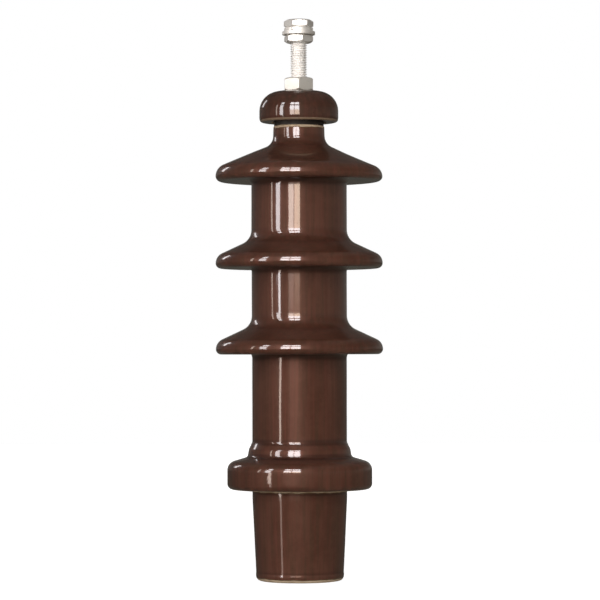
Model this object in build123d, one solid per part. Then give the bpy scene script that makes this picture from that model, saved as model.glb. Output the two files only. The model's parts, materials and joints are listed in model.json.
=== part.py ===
"""Porcelain insulator with a through stud: a bushing that carries a conductor through a cover.

Millimetres, +Z up. The origin is on the axis, in the plane where the collar rests on the cover.
Every outline is a closed loop of corners (radius, height, corner rounding) turned about Z.
"""

from build123d import *
from math import cos, radians, tan
import os

# ---- porcelain body: tail, collar and barrel ----
TAIL_BOTTOM = -66.3
TAIL_TIP_RADIUS = 31.65
SPIGOT_RADIUS = 34.5
SPIGOT_LENGTH = 7.0
COLLAR_RADIUS = 52.8
COLLAR_EDGE_HEIGHT = 19.1
STEP_FOOT_RADIUS = 38.0
STEP_TOP_RADIUS = 37.0
STEP_FOOT_HEIGHT = 23.5
STEP_TOP_HEIGHT = 29.2
BARREL_FOOT_HEIGHT = 34.2
NECK_RADIUS = 19.0
NECK_TOP = 264.8
BORE_RADIUS = 11.0

# ---- the three sheds, lowest first: height of the widest circle, barrel radius below and above ----
SHED_RADIUS = 60.95
SHEDS = ((102.4, 34.5, 34.7), (165.1, 34.7, 34.85), (228.6, 34.85, NECK_RADIUS))
LIP_DROP = 4.3
LIP_INNER_RADIUS = 54.0
UNDERSIDE_RISE = 3.2
RIM_CORNER_RISE = 4.6
TOP_RIM_CORNER_RISE = 5.1
CONE_SLOPE = 0.468
TOP_CONE_SLOPE = 0.424

# ---- hollow in the tail for the lead connection; its mouth is a socket for the lead's sleeve ----
RECESS_RADIUS = 18.0
RECESS_CEILING = -22.0
SOCKET_RADIUS = 19.5
SOCKET_FLOOR = -54.3
SLOT_REACH = 21.5
SLOT_WIDTH = 5.0
SLOT_CEILING = -26.0

# ---- porcelain cap ----
CAP_BOTTOM = 267.5
CAP_TOP = 290.0
CAP_FOOT_RADIUS = 28.3
CAP_RADIUS = 28.84
CAP_WIDEST_HEIGHT = 273.0
CAP_CROWN_ROUNDING = 14.0
CAP_RECESS_RADIUS = 19.5
CAP_RECESS_CEILING = 271.0
CAP_BORE_RADIUS = 6.6
CAP_POCKET_RADIUS = 9.3
CAP_POCKET_FLOOR = 286.4

# ---- M12 stud and its hardware ----
STUD_RADIUS = 6.0
STUD_BOTTOM = -51.0
STUD_TOP = 342.1
STUD_CHAMFER = 1.2
THREAD_CLEARANCE = 0.05
FLATS = 19.0
CAP_NUT_FLATS = 20.6
THIN_NUT = 6.0
FULL_NUT = 10.0
CORNER_CHAMFER = 30.0
WASHER_BORE = 6.5
WASHER_RADIUS = 12.0
WASHER_THICKNESS = 2.5
SPRING_BORE = 6.1
SPRING_RADIUS = 10.55
SPRING_THICKNESS = 2.5
SPRING_GAP = 1.2

# ---- heights of the stacks, top stack upwards and lead stack downwards ----
LOWER_NUT_BOTTOM = 325.5
SEAL_THICKNESS = 3.0
PLATE_THICKNESS = 2.5
STUD_COLLAR_THICKNESS = 5.0
STUD_COLLAR_RADIUS = 10.5
PIN_RADIUS = 2.0
PIN_HALF_LENGTH = 20.6
BRAZE_GAP = 0.02

# ---- inner insulation ----
TUBE_BORE = 6.3
TUBE_RADIUS = 8.5
TUBE_BOTTOM = -18.0
TUBE_TOP = 268.5
RING_HEIGHT = 12.0
RING_GAP = 0.1
CAP_WASHER_THICKNESS = 1.0
CAP_WASHER_RADIUS = 9.0


def turned(corners):
    """Turn a closed loop of (radius, height, rounding) corners about the Z axis."""
    points = [(radius, height) for radius, height, rounding in corners]
    roundings = [rounding for radius, height, rounding in corners]
    outline = FilletPolyline(*points, radius=roundings, close=True)
    return revolve(Plane.XZ * make_face(outline), Axis.Z)


def ring(bore, radius, bottom, thickness, edge=0.0):
    """A flat ring, its outer edges rounded by edge."""
    top = bottom + thickness
    return turned([(bore, bottom, 0), (radius, bottom, edge), (radius, top, edge), (bore, top, 0)])


def shed(height, radius_below, radius_above, corner_rise, slope, fillets):
    """Corners of one shed, from the barrel below it, round its drip lip, to the barrel above it."""
    lip = height - LIP_DROP
    rim_rounding, root_rounding = fillets
    cone_top = height + corner_rise + (SHED_RADIUS - radius_above) * slope
    return [
        (radius_below, lip + UNDERSIDE_RISE, 5.0),
        (LIP_INNER_RADIUS, lip, 3.0),
        (SHED_RADIUS, lip, 3.9),
        (SHED_RADIUS, height + corner_rise, rim_rounding),
        (radius_above, cone_top, root_rounding),
    ]


def insulator_body():
    """One piece of glazed porcelain: tail, collar, barrel, three sheds and neck, hollow inside."""
    corners = [
        (SOCKET_RADIUS, TAIL_BOTTOM, 1.0),
        (TAIL_TIP_RADIUS, TAIL_BOTTOM, 4.7),
        (SPIGOT_RADIUS, -SPIGOT_LENGTH, 0),
        (SPIGOT_RADIUS, 0, 0),
        (COLLAR_RADIUS, 0, 4.0),
        (COLLAR_RADIUS, COLLAR_EDGE_HEIGHT, 7.0),
        (STEP_FOOT_RADIUS, STEP_FOOT_HEIGHT, 3.0),
        (STEP_TOP_RADIUS, STEP_TOP_HEIGHT, 4.0),
        (SHEDS[0][1], BARREL_FOOT_HEIGHT, 4.0),
    ]
    for place in SHEDS[:-1]:
        corners += shed(*place, RIM_CORNER_RISE, CONE_SLOPE, (8.0, 11.0))
    corners += shed(*SHEDS[-1], TOP_RIM_CORNER_RISE, TOP_CONE_SLOPE, (8.6, 9.0))
    corners += [
        (NECK_RADIUS - 0.4, NECK_TOP, 1.2),
        (BORE_RADIUS, NECK_TOP, 0.8),
        (BORE_RADIUS, RECESS_CEILING, 0.5),
        (RECESS_RADIUS, RECESS_CEILING, 1.5),
        (RECESS_RADIUS, SOCKET_FLOOR, 0.5),
        (SOCKET_RADIUS, SOCKET_FLOOR, 0),
    ]
    slot_height = SLOT_CEILING - TAIL_BOTTOM
    slots = Box(2 * SLOT_REACH, SLOT_WIDTH, slot_height)
    return turned(corners) - Pos(0, 0, SLOT_CEILING - slot_height / 2) * slots


def porcelain_cap():
    """Domed porcelain cap with a gasket recess below and a seal pocket on top."""
    return turned(
        [
            (CAP_BORE_RADIUS, CAP_RECESS_CEILING, 0.3),
            (CAP_RECESS_RADIUS, CAP_RECESS_CEILING, 0.8),
            (CAP_RECESS_RADIUS, CAP_BOTTOM, 0.8),
            (CAP_FOOT_RADIUS, CAP_BOTTOM, 2.2),
            (CAP_RADIUS, CAP_WIDEST_HEIGHT, 15.0),
            (CAP_RADIUS, CAP_TOP, CAP_CROWN_ROUNDING),
            (CAP_POCKET_RADIUS, CAP_TOP, 0.3),
            (CAP_POCKET_RADIUS, CAP_POCKET_FLOOR, 0.3),
            (CAP_BORE_RADIUS, CAP_POCKET_FLOOR, 0.3),
        ]
    )


def hex_nut(flats, height, bottom, turn):
    """Hexagon nut, both ends chamfered. At turn 0 a corner points to -Y; turn moves it towards +X."""
    corner = flats / 2 / cos(radians(30))
    hexagon = extrude(RegularPolygon(corner, 6), height)
    face_radius = 0.445 * flats
    chamfer_depth = (corner - face_radius) * tan(radians(CORNER_CHAMFER))
    envelope = turned(
        [
            (STUD_RADIUS + THREAD_CLEARANCE, 0, 0),
            (face_radius, 0, 0),
            (corner, chamfer_depth, 0),
            (corner, height - chamfer_depth, 0),
            (face_radius, height, 0),
            (STUD_RADIUS + THREAD_CLEARANCE, height, 0),
        ]
    )
    return Pos(0, 0, bottom) * Rot(0, 0, turn - 90) * (hexagon & envelope)


def spring_washer(bottom, gap_turn):
    """Split spring washer, clamped flat. Its gap faces -Y at turn 0; turn moves it towards +X."""
    washer = ring(SPRING_BORE, SPRING_RADIUS, bottom, SPRING_THICKNESS, 0.3)
    middle = (SPRING_BORE + SPRING_RADIUS) / 2
    gap = Rot(22, 0, 0) * Box(2 * (SPRING_RADIUS - SPRING_BORE), SPRING_GAP, 3 * SPRING_THICKNESS)
    placed_gap = Rot(0, 0, gap_turn - 90) * Pos(middle, 0, bottom + SPRING_THICKNESS / 2) * gap
    return washer - placed_gap


def flat_washer(bottom):
    return ring(WASHER_BORE, WASHER_RADIUS, bottom, WASHER_THICKNESS, 0.3)


def pin_hole(height):
    """Cross hole for the locating pin."""
    radius = PIN_RADIUS + BRAZE_GAP
    return Pos(0, 0, height) * Rot(0, 90, 0) * Cylinder(radius, 2 * PIN_HALF_LENGTH)


def terminal_stud(pin_height):
    """M12 stud from the lead end to the line end, drilled for the locating pin."""
    end_radius = STUD_RADIUS - STUD_CHAMFER
    stud = turned(
        [
            (0, STUD_BOTTOM, 0),
            (end_radius, STUD_BOTTOM, 0),
            (STUD_RADIUS, STUD_BOTTOM + STUD_CHAMFER, 0),
            (STUD_RADIUS, STUD_TOP - STUD_CHAMFER, 0),
            (end_radius, STUD_TOP, 0),
            (0, STUD_TOP, 0),
        ]
    )
    return stud - pin_hole(pin_height)


def top_parts():
    """Everything above the neck, gasket first."""
    washer_bottom = LOWER_NUT_BOTTOM + THIN_NUT
    spring_bottom = washer_bottom + WASHER_THICKNESS
    upper_nut_bottom = spring_bottom + SPRING_THICKNESS
    cap_washer_bottom = CAP_TOP - CAP_WASHER_THICKNESS
    seal_height = cap_washer_bottom - CAP_POCKET_FLOOR
    gasket_thickness = CAP_RECESS_CEILING - NECK_TOP
    return {
        "porcelain_cap": porcelain_cap(),
        "cap_gasket": ring(TUBE_RADIUS + RING_GAP, 18.2, NECK_TOP, gasket_thickness, 0.4),
        "stud_seal": ring(SPRING_BORE, CAP_WASHER_RADIUS, CAP_POCKET_FLOOR, seal_height),
        "cap_washer": ring(TUBE_BORE, CAP_WASHER_RADIUS, cap_washer_bottom, CAP_WASHER_THICKNESS),
        "cap_nut": hex_nut(CAP_NUT_FLATS, FULL_NUT, CAP_TOP, 0.3),
        "lower_terminal_nut": hex_nut(FLATS, THIN_NUT, LOWER_NUT_BOTTOM, 15.0),
        "terminal_washer": flat_washer(washer_bottom),
        "terminal_spring_washer": spring_washer(spring_bottom, -29.0),
        "upper_terminal_nut": hex_nut(FLATS, THIN_NUT, upper_nut_bottom, 36.0),
    }


def lead_parts():
    """Everything in and above the hollow of the tail, from its ceiling downwards."""
    seal_bottom = RECESS_CEILING - SEAL_THICKNESS
    plate_bottom = seal_bottom - PLATE_THICKNESS
    collar_bottom = plate_bottom - STUD_COLLAR_THICKNESS
    pin_height = plate_bottom - STUD_COLLAR_THICKNESS / 2
    washer_bottom = collar_bottom - WASHER_THICKNESS
    spring_bottom = washer_bottom - SPRING_THICKNESS
    nut_bottom = spring_bottom - THIN_NUT
    collar_bore = STUD_RADIUS + BRAZE_GAP
    plain_collar = ring(collar_bore, STUD_COLLAR_RADIUS, collar_bottom, STUD_COLLAR_THICKNESS, 0.4)
    pin = Pos(0, 0, pin_height) * Rot(0, 90, 0) * Cylinder(PIN_RADIUS, 2 * PIN_HALF_LENGTH)
    return {
        "terminal_stud": terminal_stud(pin_height),
        "lower_seal": ring(TUBE_BORE, 16.0, seal_bottom, SEAL_THICKNESS, 0.4),
        "seal_pressure_washer": ring(TUBE_BORE, 17.0, plate_bottom, PLATE_THICKNESS, 0.4),
        "stud_collar": plain_collar - pin_hole(pin_height),
        "locating_pin": pin,
        "lead_washer": flat_washer(washer_bottom),
        "lead_spring_washer": spring_washer(spring_bottom, 40.0),
        "lead_nut": hex_nut(FLATS, THIN_NUT, nut_bottom, 10.0),
    }


def inner_insulation():
    """Paper tube round the stud and the two cardboard rings that centre it in the bore."""
    ring_bore = TUBE_RADIUS + RING_GAP
    ring_radius = BORE_RADIUS - RING_GAP
    upper_bottom = NECK_TOP - 2.0 - RING_HEIGHT
    return {
        "insulating_tube": ring(TUBE_BORE, TUBE_RADIUS, TUBE_BOTTOM, TUBE_TOP - TUBE_BOTTOM),
        "upper_centring_ring": ring(ring_bore, ring_radius, upper_bottom, RING_HEIGHT),
        "lower_centring_ring": ring(ring_bore, ring_radius, TUBE_BOTTOM, RING_HEIGHT),
    }


parts = {"insulator_body": insulator_body(), **top_parts(), **lead_parts(), **inner_insulation()}
os.makedirs("parts", exist_ok=True)
for name, shape in parts.items():
    export_step(shape, f"parts/{name}.step")
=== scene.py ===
"""Look of the porcelain insulator: glazed porcelain, plated M12 hardware, rubber and pressed paper."""
import json
from math import asin, atan2, ceil, cos, exp, pi, radians, sin, tan

import bpy
import bmesh
from mathutils import Matrix, Vector, noise


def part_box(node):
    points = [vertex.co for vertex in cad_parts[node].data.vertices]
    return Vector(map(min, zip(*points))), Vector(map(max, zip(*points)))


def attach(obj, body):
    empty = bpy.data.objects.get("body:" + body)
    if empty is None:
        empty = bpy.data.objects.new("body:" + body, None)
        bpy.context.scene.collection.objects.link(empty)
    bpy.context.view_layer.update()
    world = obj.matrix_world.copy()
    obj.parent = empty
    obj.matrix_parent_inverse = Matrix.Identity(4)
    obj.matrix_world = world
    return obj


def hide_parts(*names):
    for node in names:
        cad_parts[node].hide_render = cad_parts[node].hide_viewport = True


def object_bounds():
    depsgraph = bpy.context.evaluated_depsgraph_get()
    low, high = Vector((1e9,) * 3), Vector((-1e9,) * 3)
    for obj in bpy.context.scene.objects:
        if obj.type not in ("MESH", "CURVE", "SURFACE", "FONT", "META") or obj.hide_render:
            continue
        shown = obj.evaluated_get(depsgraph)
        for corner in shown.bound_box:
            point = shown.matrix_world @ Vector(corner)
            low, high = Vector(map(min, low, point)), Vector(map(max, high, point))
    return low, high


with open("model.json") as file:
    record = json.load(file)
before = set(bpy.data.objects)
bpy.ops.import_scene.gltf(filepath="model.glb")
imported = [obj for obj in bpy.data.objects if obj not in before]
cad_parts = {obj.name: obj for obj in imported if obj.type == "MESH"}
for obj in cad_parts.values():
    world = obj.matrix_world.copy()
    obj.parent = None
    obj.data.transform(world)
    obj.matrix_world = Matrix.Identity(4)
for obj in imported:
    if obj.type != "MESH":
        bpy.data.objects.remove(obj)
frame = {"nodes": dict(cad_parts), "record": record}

CAD_LOW, CAD_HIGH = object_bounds()
MM = 0.001

# ---- porcelain outline, millimetres: the same driving sizes as the CAD ----
TAIL_TIP_RADIUS = 31.65
SPIGOT_RADIUS = 34.5
SPIGOT_LENGTH = 7.0
COLLAR_RADIUS = 52.8
COLLAR_EDGE_HEIGHT = 19.1
STEP_FOOT_RADIUS, STEP_FOOT_HEIGHT = 38.0, 23.5
STEP_TOP_RADIUS, STEP_TOP_HEIGHT = 37.0, 29.2
BARREL_FOOT_HEIGHT = 34.2
NECK_RADIUS = 19.0
BORE_RADIUS = 11.0
RECESS_RADIUS = 18.0
RECESS_CEILING = -22.0
SOCKET_RADIUS = 19.5
SOCKET_FLOOR = -54.3
SLOT_REACH = 21.5
SLOT_HALF_WIDTH = 2.5
SLOT_CEILING = -26.0
SHED_RADIUS = 60.95
LIP_DROP = 4.3
LIP_RADIUS = 54.0
UNDERSIDE_RISE = 3.2
# each shed: the height of its rim's middle, and the barrel's or neck's radius below and above it
SHEDS = ((102.4, 34.5, 34.7), (165.1, 34.7, 34.85), (228.6, 34.85, NECK_RADIUS))
# a shed's top: how far the rim's corner is above its middle, the slope, the roundings of rim and root
CONE = (4.6, 0.468, (8.0, 11.0))
TOP_CONE = (5.1, 0.424, (8.6, 9.0))
CAP_RADIUS = 28.84
CAP_FOOT_RADIUS = 28.3
CAP_RECESS_RADIUS = 19.5
CAP_POCKET_RADIUS = 9.3
CAP_BORE_RADIUS = 6.6
CAP_RECESS_DEPTH = 3.5
CAP_POCKET_DEPTH = 3.6

# ---- details that only this model has, millimetres ----
BEAD_CREST = (0.47, 4.3)
BEAD_ROOT = (0.29, 6.0)
BARE_UNDER_COLLAR = 1.3
NECK_LAND_INSET, NECK_LAND_HEIGHT = 0.38, 1.7
SAG_HEIGHT, SAG_REACH = 239, 15
SAG_START_RADIUS, SAG_BLEND = 22, 12
SAG_EVEN, SAG_TILT = 0.2, 0.55
BORE_STEP = 15.0
BARE_LIMIT = 6.0

# ---- thread M12 x 1.75, millimetres ----
THREAD_RADIUS = 6.0
THREAD_ROOT = 4.93
NUT_THREAD_ROOT = 5.06
PITCH = 1.75
THREAD_CLEARANCE = 0.06
COUNTERSINK = 0.55
STUD_END_RADIUS = THREAD_RADIUS - 1.2
CREST_SWELL = 0.015
RUN_OUT_LENGTH = 2.5
NUT_FACE_SHARE = 0.445
M12_FLATS, CAP_NUT_FLATS = 19.0, 20.6
M12_WASHER = (6.5, 12.0, 0.38)

# ---- meshes and stage, metres ----
MERGE_DISTANCE = 0.0005 * MM
PANE_DISTANCE = 3.0
FLOOR_HALF = 2.8


def height(node, end=0):
    """Lowest (end 0) or highest (end 1) point of a CAD node, in millimetres."""
    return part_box(node)[end].z / MM


# ------------------------------------------------------------------ outlines

def rounded_outline(corners, arc_step=9.0, run_step=3.0):
    """Points (radius, height, bend) round a closed loop of (radius, height, rounding) corners.

    bend is the curvature in 1/mm, above 0 where the outline bulges. Bores get few extra points.
    """
    points = []
    count = len(corners)
    for k in range(count):
        before, corner, after = (Vector(corners[i % count][:2]) for i in (k - 1, k, k + 1))
        rounding = corners[k][2]
        into, out = (corner - before).normalized(), (after - corner).normalized()
        turn = atan2(into.x * out.y - into.y * out.x, into.dot(out))
        if rounding == 0:
            points.append((corner.x, corner.y, 0.0))
            continue
        reach = rounding * tan(abs(turn) / 2)
        side = 1 if turn > 0 else -1
        centre = corner - into * reach + Vector((-into.y, into.x)) * side * rounding
        arm = corner - into * reach - centre
        steps = max(3, ceil(abs(turn) / radians(arc_step)))
        for step in range(steps + 1):
            spot = centre + Matrix.Rotation(turn * step / steps, 2) @ arm
            points.append((spot.x, spot.y, side / rounding))
    filled = []
    for k, point in enumerate(points):
        after = points[(k + 1) % len(points)]
        filled.append(point)
        length = (Vector(after[:2]) - Vector(point[:2])).length
        outer_wall = max(point[0], after[0]) > RECESS_RADIUS + 0.1
        step = run_step if outer_wall else BORE_STEP
        pieces = ceil(length / step)
        for i in range(1, pieces):
            share = i / pieces
            filled.append((point[0] + (after[0] - point[0]) * share,
                           point[1] + (after[1] - point[1]) * share, 0.0))
    return filled


def distances(outline):
    """Distance along the outline to each of its points, and the whole length."""
    total, along = 0.0, []
    for k, point in enumerate(outline):
        along.append(total)
        after = outline[(k + 1) % len(outline)]
        total += (Vector(after[:2]) - Vector(point[:2])).length
    return along, total


def softened_bend(outline, spread=0.7):
    """The bend of each point, averaged over its neighbours on the outline within a few millimetres."""
    along, total = distances(outline)
    weights = []
    for k in range(len(outline)):
        before = along[k - 1] if k else along[-1] - total
        after = along[k + 1] if k + 1 < len(along) else total
        weights.append((after - before) / 2)
    result = []
    for here in along:
        summed = share = 0.0
        for there, weight, point in zip(along, weights, outline):
            gap = min(abs(here - there), total - abs(here - there))
            if gap < 3 * spread:
                pull = weight * exp(-0.5 * (gap / spread) ** 2)
                summed += pull * point[2]
                share += pull
        result.append(summed / share if share else 0.0)
    return result


def bareness(outline, spans):
    """How far inside an unglazed span each point is, in mm along the outline; below 0 on the glaze.

    spans are pairs of (radius, height) places. A span runs between the points nearest to them, in the
    outline's direction.
    """
    along, total = distances(outline)

    def nearest(place):
        gaps = [(point[0] - place[0]) ** 2 + (point[1] - place[1]) ** 2 for point in outline]
        return along[gaps.index(min(gaps))]

    ends = [(nearest(start), nearest(finish)) for start, finish in spans]
    result = []
    for here in along:
        depths = []
        for start, finish in ends:
            length = (finish - start) % total
            inside = (here - start) % total
            if inside <= length:
                depths.append(min(inside, length - inside))
            else:
                depths.append(-min(inside - length, total - inside))
        result.append(max(-BARE_LIMIT, min(BARE_LIMIT, max(depths))))
    return result


# ------------------------------------------------------------------ mesh building

def grid_mesh(name, rows, layers=None, close_rows=True, seam=False):
    """A turned mesh from rows of (x, y, z) points in mm, one point per column.

    layers holds one value per point under each attribute name. With seam, the last column repeats the
    first, and merging joins them.
    """
    columns = len(rows[0])
    vertices = [(x * MM, y * MM, z * MM) for row in rows for x, y, z in row]
    faces = []
    for r in range(len(rows) if close_rows else len(rows) - 1):
        upper = (r + 1) % len(rows)
        for c in range(columns - 1 if seam else columns):
            after = (c + 1) % columns
            here, above = r * columns, upper * columns
            faces.append((here + c, here + after, above + after, above + c))
    mesh = bpy.data.meshes.new(name)
    mesh.from_pydata(vertices, [], faces)
    for layer, values in (layers or {}).items():
        attribute = mesh.attributes.new(layer, "FLOAT", "POINT")
        attribute.data.foreach_set("value", [value for row in values for value in row])
    work = bmesh.new()
    work.from_mesh(mesh)
    bmesh.ops.remove_doubles(work, verts=work.verts, dist=MERGE_DISTANCE)
    bmesh.ops.dissolve_degenerate(work, dist=MERGE_DISTANCE * 0.2, edges=work.edges)
    bmesh.ops.recalc_face_normals(work, faces=work.faces)
    if work.calc_volume(signed=True) < 0:
        bmesh.ops.reverse_faces(work, faces=work.faces)
    work.to_mesh(mesh)
    work.free()
    return mesh


def piece(name, mesh, node, material, crease=32.0):
    """Add the finished object: it stands for the CAD node, rides on its body and has its finish."""
    made = bpy.data.objects.new(name, mesh)
    bpy.context.scene.collection.objects.link(made)
    made.data.materials.append(material)
    mesh.shade_smooth()
    mesh.set_sharp_from_angle(angle=radians(crease))
    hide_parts(node)
    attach(made, BODY_OF[node])


def even_columns(count):
    return [2 * pi * k / count for k in range(count)]


def slot_columns(count):
    """Even columns, with extra ones at the walls of the two slots in the tail's hollow."""
    wall_low = asin(SLOT_HALF_WIDTH / SOCKET_RADIUS)
    wall_high = asin(SLOT_HALF_WIDTH / SLOT_REACH)
    near = [-wall_low - 0.004, -wall_high, -0.06, 0.0, 0.06, wall_high, wall_low + 0.004]
    columns = []
    for middle in (0.0, pi):
        columns += [(middle + angle) % (2 * pi) for angle in near]
    for angle in even_columns(count):
        if abs((angle + pi / 2) % pi - pi / 2) > 1.25 * wall_low:
            columns.append(angle)
    return sorted(columns)


def wobble(angle, z):
    """Slight waviness of turned and fired porcelain, in mm."""
    x, y = cos(angle), sin(angle)
    broad = noise.noise(Vector((1.1 * x, 1.1 * y, z / 70)))
    middle = noise.noise(Vector((2.7 * x + 9, 2.7 * y, z / 22)))
    fine = noise.noise(Vector((7 * x, 7 * y + 5, z / 9)))
    return 0.10 * broad + 0.035 * middle + 0.010 * fine


def sag(angle, radius, z):
    """The top shed sank a little while it was fired, most on its +X side: how far down, in mm."""
    nearness = max(0.0, 1 - ((z - SAG_HEIGHT) / SAG_REACH) ** 2)
    outwards = max(0.0, min(1.0, (radius - SAG_START_RADIUS) / SAG_BLEND))
    return (SAG_EVEN + SAG_TILT * cos(angle)) * nearness * outwards


def porcelain_mesh(name, outline, spans, columns, slotted=False):
    """Turned porcelain with wavy outer walls, and the bend and bare layers that its material reads."""
    bends = softened_bend(outline)
    bares = bareness(outline, spans)
    rows, bend_rows, bare_rows = [], [], []
    for (radius, z, _), bend, bare in zip(outline, bends, bares):
        outside = max(0.0, min(1.0, (radius - RECESS_RADIUS - 0.3) / 2))
        row = []
        for angle in columns:
            here = radius + outside * wobble(angle, z)
            if slotted and z <= SLOT_CEILING and radius < SLOT_REACH:
                away = abs(sin(angle))
                if away * SLOT_REACH <= SLOT_HALF_WIDTH + 0.001:
                    here = SLOT_REACH / max(abs(cos(angle)), 0.5)
            row.append((here * cos(angle), here * sin(angle), z - sag(angle, here, z)))
        rows.append(row)
        bend_rows.append([bend] * len(columns))
        bare_rows.append([bare] * len(columns))
    return grid_mesh(name, rows, {"bend": bend_rows, "bare": bare_rows})


# ------------------------------------------------------------------ porcelain

def shed_corners(place, cone):
    """Corners of one shed, from the barrel below it to the barrel or neck above it."""
    z, radius_below, radius_above = place
    rise, slope, (rim, root) = cone
    lip = z - LIP_DROP
    cone_top = z + rise + (SHED_RADIUS - radius_above) * slope
    return [
        (radius_below, lip + UNDERSIDE_RISE, 5.0),
        (LIP_RADIUS, lip, 3.0),
        (SHED_RADIUS, lip, 3.9),
        (SHED_RADIUS, z + rise, rim),
        (radius_above, cone_top, root),
    ]


def make_insulator_body():
    """The porcelain body, round its outline from the mouth of the hollow up the outside and down the bore."""
    bottom, top = height("insulator_body"), height("insulator_body", 1)
    corners = [
        (SOCKET_RADIUS, bottom, 1.0),
        (TAIL_TIP_RADIUS, bottom, 3.4),
        (TAIL_TIP_RADIUS + BEAD_CREST[0], bottom + BEAD_CREST[1], 3.2),
        (TAIL_TIP_RADIUS + BEAD_ROOT[0], bottom + BEAD_ROOT[1], 7.0),
        (SPIGOT_RADIUS, -SPIGOT_LENGTH, 12.0),
        (SPIGOT_RADIUS, -BARE_UNDER_COLLAR, 0),
        (SPIGOT_RADIUS, 0.0, 0.7),
        (COLLAR_RADIUS, 0.0, 4.0),
        (COLLAR_RADIUS, COLLAR_EDGE_HEIGHT, 7.0),
        (STEP_FOOT_RADIUS, STEP_FOOT_HEIGHT, 3.0),
        (STEP_TOP_RADIUS, STEP_TOP_HEIGHT, 4.0),
        (SHEDS[0][1], BARREL_FOOT_HEIGHT, 4.0),
    ]
    for place in SHEDS[:-1]:
        corners += shed_corners(place, CONE)
    corners += shed_corners(SHEDS[-1], TOP_CONE)
    corners += [
        (NECK_RADIUS - NECK_LAND_INSET, top - NECK_LAND_HEIGHT, 0),
        (NECK_RADIUS - 0.4, top, 1.2),
        (BORE_RADIUS, top, 0.8),
        (BORE_RADIUS, RECESS_CEILING, 0.5),
        (RECESS_RADIUS, RECESS_CEILING, 1.5),
        (RECESS_RADIUS, SLOT_CEILING + 0.02, 0),
        (RECESS_RADIUS, SLOT_CEILING, 0),
        (RECESS_RADIUS, SOCKET_FLOOR, 0.5),
        (SOCKET_RADIUS, SOCKET_FLOOR, 0),
    ]
    spans = [
        ((SOCKET_RADIUS + 0.5, bottom), (31.5, bottom + 2.2)),
        ((SPIGOT_RADIUS, -BARE_UNDER_COLLAR), (COLLAR_RADIUS - 1.6, 0.0)),
        ((NECK_RADIUS - NECK_LAND_INSET, top - NECK_LAND_HEIGHT), (BORE_RADIUS + 1.0, top)),
    ]
    outline = rounded_outline(corners)
    mesh = porcelain_mesh("porcelain_body", outline, spans, slot_columns(192), slotted=True)
    piece("porcelain_body", mesh, "insulator_body", GLAZE)


def make_cap():
    """The domed cap: hollow below for the gasket, with a pocket on top for the seal and the nut's plate."""
    bottom, top = height("porcelain_cap"), height("porcelain_cap", 1)
    ceiling, pocket_floor = bottom + CAP_RECESS_DEPTH, top - CAP_POCKET_DEPTH
    corners = [
        (CAP_BORE_RADIUS, ceiling, 0.3),
        (CAP_RECESS_RADIUS, ceiling, 0.8),
        (CAP_RECESS_RADIUS, bottom, 0.8),
        (CAP_FOOT_RADIUS, bottom, 2.2),
        (CAP_RADIUS, bottom + 3.2, 6.0),
        (CAP_RADIUS - 0.1, top, 14.4),
        (CAP_POCKET_RADIUS, top, 0.3),
        (CAP_POCKET_RADIUS, pocket_floor, 0.3),
        (CAP_BORE_RADIUS, pocket_floor, 0.3),
    ]
    spans = [((CAP_BORE_RADIUS + 0.5, ceiling), (CAP_RECESS_RADIUS + 1.0, bottom))]
    outline = rounded_outline(corners, run_step=2.0)
    mesh = porcelain_mesh("cap_porcelain", outline, spans, even_columns(180))
    piece("cap_porcelain", mesh, "porcelain_cap", CAP_GLAZE)


# ------------------------------------------------------------------ threaded parts

def thread_depth(phase):
    """Share of the thread's depth below the crest, 0 to 1, for a phase of 0 to 1 along one pitch."""
    away = abs((phase + 0.5) % 1.0 - 0.5)
    crest, root = 0.0625, 0.4165
    if away <= crest:
        return 0.0
    if away >= root:
        return 1.0
    return (away - crest) / (root - crest)


# where the rows of a thread lie along one pitch: round the crest and round the root
THREAD_MARKS = (-0.09, -0.05, 0.05, 0.09, 0.37, 0.43, 0.57, 0.63)


def thread_rows(columns, low, high, radius_at):
    """Rows of a helical surface between two heights. radius_at(depth, z) gives its radius.

    The last column is a turn on from the first, so each row runs on into the row one pitch higher.
    """
    start = int(low / PITCH - 2.0)
    turns = ceil((high - low) / PITCH) + 3
    rows = []
    for k in range(turns):
        for mark in THREAD_MARKS:
            row = []
            for angle in columns:
                along = (start + k + mark + angle / (2 * pi)) * PITCH
                z = max(low, min(high, along))
                radius = radius_at(thread_depth(mark), z)
                row.append((radius * cos(angle), radius * sin(angle), z))
            rows.append(row)
    return rows


def flat_row(columns, radius, z):
    return [(radius * cos(angle), radius * sin(angle), z) for angle in columns]


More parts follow.
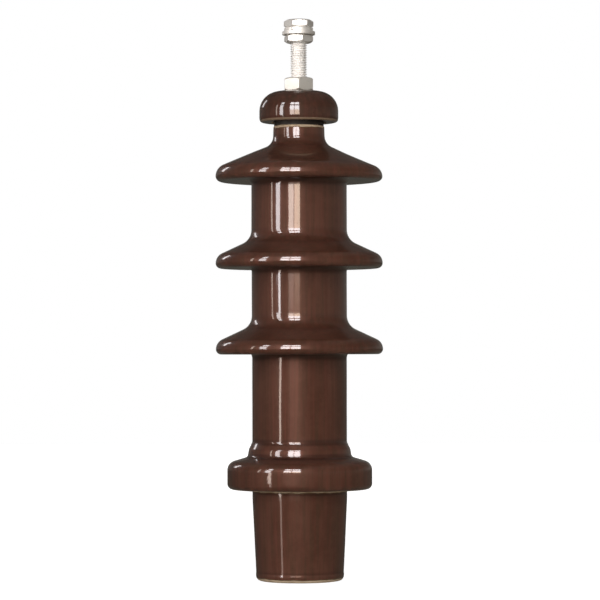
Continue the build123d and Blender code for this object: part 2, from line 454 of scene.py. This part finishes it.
def make_stud():
    """The stud with a rolled helical thread at both ends and a plain shank inside the porcelain."""
    bottom, top = height("terminal_stud"), height("terminal_stud", 1)
    turn_columns = 72
    columns = [2 * pi * k / turn_columns for k in range(turn_columns + 1)]
    lead_thread_top, line_thread_bottom = RECESS_CEILING - 3.0, height("cap_washer") - 2.0

    def radius_at(depth, z):
        thread = THREAD_RADIUS - depth * (THREAD_RADIUS - THREAD_ROOT)
        if 0 < depth < 0.5:
            thread += CREST_SWELL
        return min(thread, STUD_END_RADIUS + (top - z), STUD_END_RADIUS + (z - bottom))

    def sunk(depth, z):
        """Thread that ends on the shank at both of its inner ends."""
        run_out = min(abs(z - lead_thread_top), abs(z - line_thread_bottom)) / RUN_OUT_LENGTH
        return radius_at(depth * min(1.0, run_out), z)

    face_radii = (0.0, 1.6, 3.2)
    rows = [flat_row(columns, radius, bottom) for radius in face_radii]
    rows += thread_rows(columns, bottom, lead_thread_top, sunk)
    rows += thread_rows(columns, line_thread_bottom, top, sunk)
    rows += [flat_row(columns, radius, top) for radius in reversed(face_radii)]
    grooves = []
    for row in rows:
        sunken = [THREAD_RADIUS - (x * x + y * y) ** 0.5 for x, y, _ in row]
        grooves.append([max(0.0, min(1.0, depth / (THREAD_RADIUS - THREAD_ROOT))) for depth in sunken])
    mesh = grid_mesh("stud", rows, {"groove": grooves}, close_rows=False, seam=True)
    piece("stud", mesh, "terminal_stud", STEEL_THREAD, crease=38)


def hexagon_radius(angle, apothem, corner_angle, rounding=0.45):
    """Radius of a hexagon with slightly rounded corners, one of which points to corner_angle."""
    away = (angle - corner_angle + pi / 6) % (pi / 3) - pi / 6
    centre = (apothem - rounding) / cos(pi / 6)
    tangent = atan2(rounding * 0.5, centre + rounding * cos(pi / 6))
    if abs(away) < tangent:
        return centre * cos(away) + (rounding ** 2 - (centre * sin(away)) ** 2) ** 0.5
    return apothem / cos(pi / 6 - abs(away))


def nut_columns(corner_angle):
    """Columns that are dense at the six corners; the last repeats the first."""
    offsets = (0.0, 0.5, 1.0, 1.5, 3.0, 6.0, 10.0, 15.0, 20.0, 25.0)
    angles = []
    for corner in range(6):
        for offset in offsets:
            angles.append(60 * corner + offset)
        for offset in (30.0, *reversed(offsets[1:])):
            angles.append(60 * corner + 60 - offset)
    return [corner_angle + radians(angle) for angle in angles] + [corner_angle + 2 * pi]


def make_nut(name, node, flats, turn, plating):
    """A hexagon nut: chamfered both ends, rounded corners, countersunk and threaded bore.

    turn is where one corner points, in degrees from -Y.
    """
    low, high = height(node), height(node, 1)
    corner_angle = radians(turn - 90)
    columns = nut_columns(corner_angle)
    apothem = flats / 2
    face_radius = NUT_FACE_SHARE * flats
    sink = THREAD_RADIUS + COUNTERSINK
    slope = tan(radians(30))

    def bore_radius(depth, z):
        thread = THREAD_RADIUS + THREAD_CLEARANCE - depth * (THREAD_RADIUS - NUT_THREAD_ROOT)
        return max(thread, sink - (z - low), sink - (high - z))

    def side_row(inset, lift, at_top):
        """A row where the flats meet the chamfer, moved in by inset and down the flat by lift."""
        row = []
        for angle in columns:
            radius = hexagon_radius(angle, apothem, corner_angle)
            drop = max(0.0, (radius - face_radius) * slope) + lift
            here = radius - inset
            z = high - drop if at_top else low + drop
            row.append((here * cos(angle), here * sin(angle), z))
        return row

    def chamfer_row(share, at_top):
        """A row on the chamfer's cone, share of the way from the end face to the flats."""
        row = []
        for angle in columns:
            outer = hexagon_radius(angle, apothem, corner_angle)
            radius = face_radius + (outer - face_radius) * share
            drop = (radius - face_radius) * slope
            z = high - drop if at_top else low + drop
            row.append((radius * cos(angle), radius * sin(angle), z))
        return row

    face_radii, chamfer_shares = (sink + 0.08, 8.0, face_radius - 0.12), (0.06, 0.5, 0.86)
    edges = ((0.02, 0.03), (0.0, 0.18))
    rows = thread_rows(columns, low, high, bore_radius)
    rows += [flat_row(columns, radius, high) for radius in face_radii]
    rows += [chamfer_row(share, True) for share in chamfer_shares]
    rows += [side_row(inset, lift, True) for inset, lift in edges]
    rows += [side_row(inset, lift, False) for inset, lift in reversed(edges)]
    rows += [chamfer_row(share, False) for share in reversed(chamfer_shares)]
    rows += [flat_row(columns, radius, low) for radius in reversed(face_radii)]
    mesh = grid_mesh(name, rows, seam=True)
    piece(name, mesh, node, plating, crease=24)


def washer_outline(bore, radius, low, high, edge):
    """A punched ring: rounded die-roll edges above, crisper ones below."""
    return rounded_outline(
        [(bore, low, edge * 0.6), (radius, low, edge * 0.6), (radius, high, edge), (bore, high, edge)],
        arc_step=15,
    )


def make_ring(name, node, slot, material, bore, radius, edge, bulge=0.0):
    """A turned ring that stands for a CAD node and takes its height from it. bulge swells its rim."""
    low, high = height(node), height(node, 1)
    outline = washer_outline(bore, radius, low, high, edge)
    columns = even_columns(144)
    rows = []
    for r, z, _ in outline:
        swell = bulge * (1 - ((z - (low + high) / 2) / ((high - low) / 2)) ** 2) if r > bore + 1 else 0.0
        rows.append(flat_row(columns, r + swell, z))
    piece(name, grid_mesh(name, rows), node, material, crease=35)


def make_spring_washer(name, node, gap_turn):
    """A split spring washer, clamped flat: its ends are cut at a slant and face each other."""
    bore, radius, edge = 6.1, 10.55, 0.32
    gap, lean = 0.7, radians(22.0)
    low, high = height(node), height(node, 1)
    middle, z_middle = (bore + radius) / 2, (low + high) / 2
    section = washer_outline(bore, radius, low, high, edge)
    start = radians(gap_turn - 90)
    rows = []
    steps = 150
    for step in range(steps + 1):
        share = step / steps
        row = []
        for r, z, _ in section:
            lean_angle = tan(lean) * (z - z_middle) / middle
            half_gap = gap / 2 / cos(lean) / middle
            angle = start - lean_angle + half_gap + share * (2 * pi - 2 * half_gap)
            row.append((r * cos(angle), r * sin(angle), z))
        rows.append(row)
    mesh = grid_mesh(name, rows, close_rows=False)
    work = bmesh.new()
    work.from_mesh(mesh)
    bmesh.ops.holes_fill(work, edges=[end for end in work.edges if end.is_boundary], sides=0)
    bmesh.ops.recalc_face_normals(work, faces=work.faces)
    work.to_mesh(mesh)
    work.free()
    piece(name, mesh, node, STEEL_RING, crease=35)


# ------------------------------------------------------------------ materials

class Nodes:
    """A small helper that adds and links the nodes of one material."""

    def __init__(self, name):
        self.material = bpy.data.materials.new(name)
        self.material.use_nodes = True
        self.tree = self.material.node_tree
        self.shader = self.tree.nodes["Principled BSDF"]
        coordinates = self.tree.nodes.new("ShaderNodeTexCoord")
        self.place = coordinates.outputs["Object"]

    def add(self, kind, inputs=None, **settings):
        node = self.tree.nodes.new(kind)
        for key, value in settings.items():
            setattr(node, key, value)
        for key, value in (inputs or {}).items():
            self.put(value, node.inputs[key])
        return node

    def put(self, value, socket):
        if isinstance(value, bpy.types.NodeSocket):
            self.tree.links.new(value, socket)
        else:
            socket.default_value = value

    def scaled(self, x, y, z):
        """Object coordinates scaled by x, y, z."""
        mapping = self.add("ShaderNodeMapping", {"Vector": self.place})
        mapping.inputs["Scale"].default_value = (x, y, z)
        return mapping.outputs["Vector"]

    def noise(self, scale, detail=2.0, roughness=0.5, vector=None, distortion=0.0):
        node = self.add("ShaderNodeTexNoise", {
            "Vector": vector or self.place, "Scale": scale, "Detail": detail,
            "Roughness": roughness, "Distortion": distortion,
        })
        return node.outputs["Fac"]

    def math(self, operation, a, b, clamp=False):
        node = self.add("ShaderNodeMath", {0: a, 1: b}, operation=operation)
        node.use_clamp = clamp
        return node.outputs[0]

    def ranged(self, value, low, high, to_low=0.0, to_high=1.0, smooth=True):
        """value carried from the range low to high into the range to_low to to_high, and kept inside it."""
        node = self.add("ShaderNodeMapRange", {
            "Value": value, "From Min": low, "From Max": high, "To Min": to_low, "To Max": to_high,
        })
        node.interpolation_type = "SMOOTHSTEP" if smooth else "LINEAR"
        return node.outputs["Result"]

    def mix(self, factor, first, second):
        node = self.add("ShaderNodeMix", data_type="RGBA", blend_type="MIX")
        self.put(factor, node.inputs[0])
        self.put(first, node.inputs[6])
        self.put(second, node.inputs[7])
        return node.outputs[2]

    def layer(self, name):
        """A value that the mesh holds at each point."""
        return self.add("ShaderNodeAttribute", attribute_name=name).outputs["Fac"]

    def bump(self, relief):
        """Normals for a relief in mm."""
        inputs = {"Height": relief, "Distance": MM, "Strength": 1.0}
        return self.add("ShaderNodeBump", inputs).outputs["Normal"]

    def set(self, **sockets):
        """Set or link sockets of the shader, with _ for each space in a socket's name."""
        for name, value in sockets.items():
            self.put(value, self.shader.inputs[name.replace("_", " ")])


def colour(red, green, blue):
    return (red, green, blue, 1.0)


def glaze_material(name, dark, light, haze_level):
    """Glossy brown glaze that thins to a lighter tone on sharp edges, with bare porcelain where it stops.

    dark and light are the two tones that its streaks and clouds mix, and haze_level is the strength of
    the soft gloss below the clear coat.
    """
    n = Nodes(name)
    bend, bare = n.layer("bend"), n.layer("bare")
    olive = colour(dark[0] * 0.89, dark[1] * 1.19, dark[2] * 1.13)
    russet = colour(light[0] * 1.07, light[1] * 0.90, light[2] * 0.91)

    streaks = n.noise(1.0, 4.0, 0.55, n.scaled(120, 120, 7), 0.3)
    clouds = n.noise(26.0, 4.0, 0.6)
    mottle = n.noise(170.0, 3.0, 0.65)
    brushed = n.noise(1.0, 3.0, 0.6, n.scaled(330, 330, 9), 0.2)
    tone = n.math("ADD", n.math("MULTIPLY", streaks, 0.55), n.math("MULTIPLY", clouds, 0.45))

    body = n.mix(n.ranged(tone, 0.36, 0.64), colour(*dark), colour(*light))
    body = n.mix(n.ranged(brushed, 0.46, 0.64, 0.0, 0.70), body, olive)
    body = n.mix(n.ranged(brushed, 0.45, 0.32, 0.0, 0.65), body, russet)
    body = n.mix(n.ranged(mottle, 0.42, 0.7, 0.0, 0.22), body, colour(0.150, 0.062, 0.040))
    pooled = n.mix(n.ranged(bend, -0.02, -0.22, 0.0, 0.6), body, colour(0.040, 0.016, 0.011))
    thinned = n.mix(n.ranged(bend, 0.405, 0.445, 0.0, 0.62), pooled, colour(0.40, 0.29, 0.19))

    specks = n.add("ShaderNodeTexVoronoi", {"Vector": n.place, "Scale": 420.0}, feature="F1")
    chosen = n.ranged(n.noise(95.0, 1.0), 0.60, 0.64)
    dots = n.math("MULTIPLY", n.ranged(specks.outputs["Distance"], 0.16, 0.08), chosen)
    speckled = n.mix(n.math("MULTIPLY", dots, 0.55), thinned, colour(0.020, 0.010, 0.008))

    edge_wave = n.math("SUBTRACT", n.noise(95.0, 2.0, 0.55), 0.5)
    shifted = n.math("ADD", bare, n.math("MULTIPLY", edge_wave, 1.5))
    bare_mask = n.ranged(shifted, -0.10, 0.10)
    lip_mask = n.ranged(shifted, -1.1, -0.25)
    edged = n.mix(n.math("MULTIPLY", lip_mask, 0.75), speckled, colour(0.150, 0.088, 0.045))

    grain = n.noise(900.0, 3.0, 0.6)
    stain = n.noise(60.0, 3.0, 0.6)
    clay = n.mix(n.ranged(stain, 0.35, 0.7), colour(0.66, 0.52, 0.37), colour(0.50, 0.37, 0.25))
    clay = n.mix(n.ranged(grain, 0.55, 0.75, 0.0, 0.3), clay, colour(0.34, 0.25, 0.17))
    n.set(Base_Color=n.mix(bare_mask, edged, clay))

    # a soft gloss underneath, and a clear coat over it that has the sharp reflections
    haze = n.ranged(n.noise(55.0, 3.0), 0.3, 0.7, 0.30, 0.38, smooth=False)
    n.set(Roughness=n.ranged(bare_mask, 0.0, 1.0, haze, 0.75, smooth=False))
    n.shader.inputs["IOR"].default_value = 1.5
    n.shader.inputs["Specular IOR Level"].default_value = haze_level
    n.shader.inputs["Specular Tint"].default_value = colour(1.0, 0.52, 0.40)
    n.set(Coat_Weight=n.math("SUBTRACT", 1.0, bare_mask, clamp=True))
    n.shader.inputs["Coat Roughness"].default_value = 0.06
    n.shader.inputs["Coat IOR"].default_value = 1.5

    peel = n.math("MULTIPLY", n.noise(210.0, 2.0, 0.5), 0.012)
    pits = n.math("MULTIPLY", dots, -0.02)
    step = n.math("MULTIPLY", n.ranged(shifted, -0.5, 0.15, 1.0, 0.0), 0.22)
    rough_clay = n.math("MULTIPLY", n.math("MULTIPLY", grain, bare_mask), 0.10)
    relief = n.math("ADD", n.math("ADD", peel, pits), n.math("ADD", step, rough_clay))
    surface = n.bump(relief)
    n.set(Normal=surface, Coat_Normal=surface)
    return n.material


def steel_material(name, brushed, roughness, tint, grooved=False):
    """Bright zinc or nickel plating: fine tool marks and faint stains.

    brushed scales the tool marks along x, y and z. grooved is for the stud's thread: painted shade darkens
    its grooves.
    """
    n = Nodes(name)
    stain = n.noise(150.0, 4.0, 0.6)
    cloud = n.noise(420.0, 3.0, 0.6)
    marks = n.noise(1.0, 3.0, 0.6, n.scaled(*brushed))
    clean, dull, groove_shade = colour(*tint), colour(0.50, 0.475, 0.42), colour(0.36, 0.32, 0.28)
    body = n.mix(n.ranged(stain, 0.48, 0.78, 0.0, 0.15 if grooved else 0.40), clean, dull)
    body = n.mix(n.ranged(cloud, 0.58, 0.75, 0.0, 0.20), body, colour(0.40, 0.38, 0.35))
    # painted shade: the deeper a point lies in the thread's grooves, the darker its colour
    if grooved:
        body = n.mix(n.ranged(n.layer("groove"), 0.35, 0.95, 0.0, 0.36), body, groove_shade)
    n.set(Base_Color=body)
    n.shader.inputs["Metallic"].default_value = 0.45 if grooved else 0.62
    low, high = roughness
    wear = n.math("ADD", n.math("MULTIPLY", marks, 0.5), n.math("MULTIPLY", stain, 0.5))
    n.set(Roughness=n.ranged(wear, 0.35, 0.65, low, high, smooth=False))
    if not grooved:
        relief = n.math("ADD", n.math("MULTIPLY", marks, 0.003), n.math("MULTIPLY", cloud, 0.002))
        n.set(Normal=n.bump(relief))
    return n.material


def rubber_material():
    """Matt black rubber with a moulded grain and a little dust."""
    n = Nodes("black_rubber")
    dust = n.noise(120.0, 4.0, 0.6)
    grain = n.noise(1500.0, 2.0)
    black, dusty = colour(0.018, 0.013, 0.010), colour(0.038, 0.029, 0.023)
    n.set(Base_Color=n.mix(n.ranged(dust, 0.45, 0.75), black, dusty))
    n.set(Roughness=n.ranged(grain, 0.3, 0.7, 0.55, 0.75, smooth=False))
    n.set(Normal=n.bump(n.math("MULTIPLY", grain, 0.03)))
    return n.material


def paper_material():
    """Oiled pressed paper: wound layers show as fine lines."""
    n = Nodes("pressed_paper")
    fibres = n.noise(1.0, 4.0, 0.6, n.scaled(500, 500, 2200))
    cloud = n.noise(80.0, 3.0)
    layers = n.add("ShaderNodeTexWave", {"Vector": n.place, "Scale": 900.0, "Distortion": 3.0},
                   wave_type="RINGS", rings_direction="Z")
    body = n.mix(n.ranged(cloud, 0.3, 0.7), colour(0.34, 0.20, 0.095), colour(0.44, 0.28, 0.14))
    body = n.mix(n.math("MULTIPLY", layers.outputs["Fac"], 0.25), body, colour(0.22, 0.12, 0.055))
    n.set(Base_Color=n.mix(n.ranged(fibres, 0.5, 0.8, 0.0, 0.35), body, colour(0.52, 0.36, 0.20)))
    n.set(Roughness=n.ranged(fibres, 0.2, 0.8, 0.5, 0.8, smooth=False))
    n.set(Normal=n.bump(n.math("MULTIPLY", fibres, 0.06)))
    return n.material


# ------------------------------------------------------------------ stage

def make_floor():
    """A pale floor under the object, seen by the camera only, so that the glaze reflects the dim room."""
    half, z = FLOOR_HALF, CAD_LOW.z - 0.2 * MM
    corners = [(-half, -half, z), (half, -half, z), (half, half, z), (-half, half, z)]
    mesh = bpy.data.meshes.new("floor")
    mesh.from_pydata(corners, [], [(0, 1, 2, 3)])
    floor = bpy.data.objects.new("floor", mesh)
    bpy.context.scene.collection.objects.link(floor)
    n = Nodes("floor")
    n.set(Base_Color=colour(0.6, 0.6, 0.6), Roughness=0.9)
    n.set(Emission_Color=colour(1, 1, 1), Emission_Strength=0.90)
    n.shader.inputs["Specular IOR Level"].default_value = 0.0
    mesh.materials.append(n.material)
    floor.visible_glossy = False
    floor.visible_diffuse = False


def fill_ramp(node, stops):
    """Set the stops (position, colour) of a new ramp."""
    elements = node.color_ramp.elements
    while len(elements) < len(stops):
        elements.new(0.5)
    for element, (position, value) in zip(elements, stops):
        element.position = position
        element.color = (*value, 1)


def make_world():
    """White for the camera. The object sees a dim room: darker on the left, brighter at its horizon."""
    world = bpy.data.worlds.new("studio")
    bpy.context.scene.world = world
    world.use_nodes = True
    tree = world.node_tree
    tree.nodes.clear()
    output, light_path, room, white, switch, place, split, across, upwards, tint = (
        tree.nodes.new(f"ShaderNode{kind}") for kind in (
            "OutputWorld", "LightPath", "Background", "Background", "MixShader", "TexCoord",
            "SeparateXYZ", "ValToRGB", "ValToRGB", "Mix"))
    tint.data_type, tint.blend_type = "RGBA", "MULTIPLY"
    tint.inputs[0].default_value = 1.0
    tree.links.new(place.outputs["Generated"], split.inputs[0])
    for axis, ramp_node in (("X", across), ("Z", upwards)):
        half = tree.nodes.new("ShaderNodeMath")
        half.operation = "MULTIPLY_ADD"
        half.inputs[1].default_value = 0.5
        half.inputs[2].default_value = 0.5
        tree.links.new(split.outputs[axis], half.inputs[0])
        tree.links.new(half.outputs[0], ramp_node.inputs["Fac"])
    # from left to right, and from straight down to straight up with the horizon at 0.5
    fill_ramp(across, (
        (0.05, (0.155, 0.132, 0.120)), (0.55, (0.19, 0.18, 0.165)), (0.95, (0.245, 0.220, 0.192))))
    fill_ramp(upwards, (
        (0.10, (0.65, 0.65, 0.60)), (0.38, (0.55, 0.55, 0.50)), (0.45, (0.36, 0.36, 0.335)),
        (0.490, (0.36, 0.36, 0.335)), (0.508, (0.78, 0.79, 0.79)), (0.56, (0.80, 0.81, 0.81)),
        (0.64, (0.42, 0.40, 0.38)), (0.78, (0.32, 0.30, 0.30)), (0.88, (0.66, 0.66, 0.67))))
    tree.links.new(across.outputs["Color"], tint.inputs[6])
    tree.links.new(upwards.outputs["Color"], tint.inputs[7])
    tree.links.new(tint.outputs[2], room.inputs["Color"])
    room.inputs["Strength"].default_value = 1.0
    white.inputs["Color"].default_value = (1, 1, 1, 1)
    white.inputs["Strength"].default_value = 1.0
    tree.links.new(light_path.outputs["Is Camera Ray"], switch.inputs[0])
    tree.links.new(room.outputs[0], switch.inputs[1])
    tree.links.new(white.outputs[0], switch.inputs[2])
    tree.links.new(switch.outputs[0], output.inputs["Surface"])


def make_pane(name, azimuth, width, low, high, radiance, tint, reflected):
    """A rectangular light round the object. It faces the axis, and its brightness is a radiance.

    azimuth and width are in degrees seen from the axis, 0 towards -Y and above 0 towards +X. low and high
    are heights in metres. A reflected pane shows in reflections only, and any other lights the diffuse
    colours only.
    """
    light = bpy.data.lights.new(name, "AREA")
    light.shape = "RECTANGLE"
    light.size = 2 * PANE_DISTANCE * tan(radians(width / 2))
    light.size_y = high - low
    light.energy = radiance * pi * light.size * light.size_y
    light.color = tint
    pane = bpy.data.objects.new(name, light)
    bpy.context.scene.collection.objects.link(pane)
    angle = radians(azimuth)
    pane.location = (PANE_DISTANCE * sin(angle), -PANE_DISTANCE * cos(angle), (low + high) / 2)
    inwards = Vector((-sin(angle), cos(angle), 0))
    pane.rotation_euler = inwards.to_track_quat("-Z", "Y").to_euler()
    pane.visible_camera = False
    pane.visible_diffuse = not reflected
    pane.visible_glossy = reflected


def make_lights():
    """Tall windows that only reflections see, and soft daylight that only the diffuse colours see."""
    beige, peach, sky = (1.0, 0.84, 0.74), (1.0, 0.79, 0.62), (1.0, 0.97, 0.99)
    daylight, white = (1.0, 0.97, 0.94), (1, 1, 1)
    # the main window, two casements wide: a dim sill, a beige lower part, a bright part and an upper pane
    windows = []
    for side, azimuth, width, low_tint in (("left", -19.4, 12.4, beige), ("right", -5.15, 13.3, peach)):
        windows += [
            (f"window_main_sill_{side}", azimuth, width, -0.25, 0.16, 0.22, low_tint),
            (f"window_main_low_{side}", azimuth, width, 0.16, 0.28, 2.2, low_tint),
            (f"window_main_mid_{side}", azimuth, width, 0.28, 0.62, 13.0, low_tint),
            (f"window_main_{side}", azimuth, width, 0.62, 1.35, 19.0, sky),
            (f"window_main_top_{side}", azimuth, width, 1.70, 2.60, 19.0, sky),
        ]
    windows += [
        # the second window, further left, above a narrow bright stem
        ("window_left_foot", -47.2, 4.0, -0.62, -0.155, 3.5, beige),
        ("window_left_knee", -48.8, 6.5, -0.155, -0.10, 11.5, beige),
        ("window_left_low", -47.6, 4.8, -0.10, 0.12, 9.4, beige),
        ("window_left_stem", -48.8, 5.2, 0.12, 0.24, 15.5, sky),
        ("window_left", -51.7, 10.4, 0.24, 1.45, 12.8, sky),
        ("window_left_top", -51.1, 9.2, 1.70, 2.40, 14.5, sky),
        # a narrow one beyond it and a small one far behind
        ("window_edge", -68.5, 3.5, 0.16, 1.5, 7.0, beige),
        ("window_back", -134.0, 8.0, 0.9, 1.9, 4.6, sky),
    ]
    for pane in windows:
        make_pane(*pane, reflected=True)
    make_pane("daylight", -3.0, 36.0, -0.5, 1.9, 5.3, daylight, reflected=False)
    make_pane("fill_left", -85.0, 60.0, -0.9, 1.0, 1.0, white, reflected=False)
    make_pane("fill_right", 80.0, 60.0, -0.9, 0.4, 0.72, white, reflected=False)
    make_pane("fill_behind", 180.0, 110.0, 0.0, 2.8, 1.1, white, reflected=False)


def make_camera():
    """A long lens in front of the object, a little below its middle and aimed slightly upwards."""
    data = bpy.data.cameras.new("camera")
    data.lens, data.sensor_width = 162.0, 36.0
    data.clip_start, data.clip_end = 0.05, 200.0
    camera = bpy.data.objects.new("camera", data)
    bpy.context.scene.collection.objects.link(camera)
    across, distance = 0.5 * MM, 1.97
    eye_share, aim_share, roll_angle = 0.4115, 0.4991, radians(-0.15)
    tall = CAD_HIGH.z - CAD_LOW.z
    camera.location = (across, -distance, CAD_LOW.z + eye_share * tall)
    aim = Vector((across, 0.0, CAD_LOW.z + aim_share * tall)) - camera.location
    roll = Matrix.Rotation(roll_angle, 4, "Z").to_quaternion()
    camera.rotation_euler = (aim.to_track_quat("-Z", "Y") @ roll).to_euler()
    bpy.context.scene.camera = camera


# ------------------------------------------------------------------ the object

BODY_OF = {node: body for body, nodes in frame["record"]["behaviour"]["bodies"].items() for node in nodes}
GLAZE = glaze_material("brown_glaze", (0.088, 0.0335, 0.0212), (0.127, 0.0515, 0.0342), 0.22)
CAP_GLAZE = glaze_material("brown_glaze_cap", (0.070, 0.0300, 0.0205), (0.096, 0.0440, 0.0310), 0.06)
THREAD_MARK_SCALE, NUT_MARK_SCALE, RING_MARK_SCALE = (700, 700, 3000), (300, 300, 2600), (1400, 1400, 300)
SATIN, DULL = (0.50, 0.60), (0.68, 0.76)
STEEL_THREAD = steel_material("plated_thread", THREAD_MARK_SCALE, DULL, (0.97, 0.96, 0.94), grooved=True)
STEEL_NUT = steel_material("plated_nut", NUT_MARK_SCALE, SATIN, (0.80, 0.785, 0.75))
# the cap nut has the nuts' plating made darker and browner: painted shade, and a painted reflection of the
# brown cap
SHADED_CAP_NUT_STEEL = steel_material("plated_cap_nut_shaded", NUT_MARK_SCALE, SATIN, (0.70, 0.68, 0.625))
STEEL_RING = steel_material("plated_ring", RING_MARK_SCALE, SATIN, (0.87, 0.85, 0.81))
RUBBER = rubber_material()
PAPER = paper_material()

make_insulator_body()
make_cap()
make_stud()
make_nut("cap_hex_nut", "cap_nut", CAP_NUT_FLATS, 0.3, SHADED_CAP_NUT_STEEL)
make_nut("lower_hex_nut", "lower_terminal_nut", M12_FLATS, 15.0, STEEL_NUT)
make_nut("upper_hex_nut", "upper_terminal_nut", M12_FLATS, 36.0, STEEL_NUT)
make_nut("lead_hex_nut", "lead_nut", M12_FLATS, 10.0, STEEL_NUT)
make_ring("line_washer", "terminal_washer", "plated_steel", STEEL_RING, *M12_WASHER)
make_ring("lead_plain_washer", "lead_washer", "plated_steel", STEEL_RING, *M12_WASHER)
make_spring_washer("line_spring_washer", "terminal_spring_washer", -29.0)
make_spring_washer("lead_split_washer", "lead_spring_washer", 40.0)
make_ring("gasket", "cap_gasket", "black_rubber", RUBBER, 8.6, 18.1, 0.5, bulge=0.1)

# pieces that are shown as they are in the CAD only get their finish
KEPT = {"plated_steel": STEEL_RING, "black_rubber": RUBBER, "pressed_paper": PAPER, "brown_glaze": GLAZE}
SLOT_OF = {part["node"]: part["material_slot"] for part in frame["record"]["subparts"]}
for node, shown in frame["nodes"].items():
    if not shown.hide_render:
        shown.data.materials.clear()
        shown.data.materials.append(KEPT[SLOT_OF[node]])

make_floor()
make_world()
make_lights()
make_camera()
bpy.context.scene.view_settings.view_transform = "Standard"
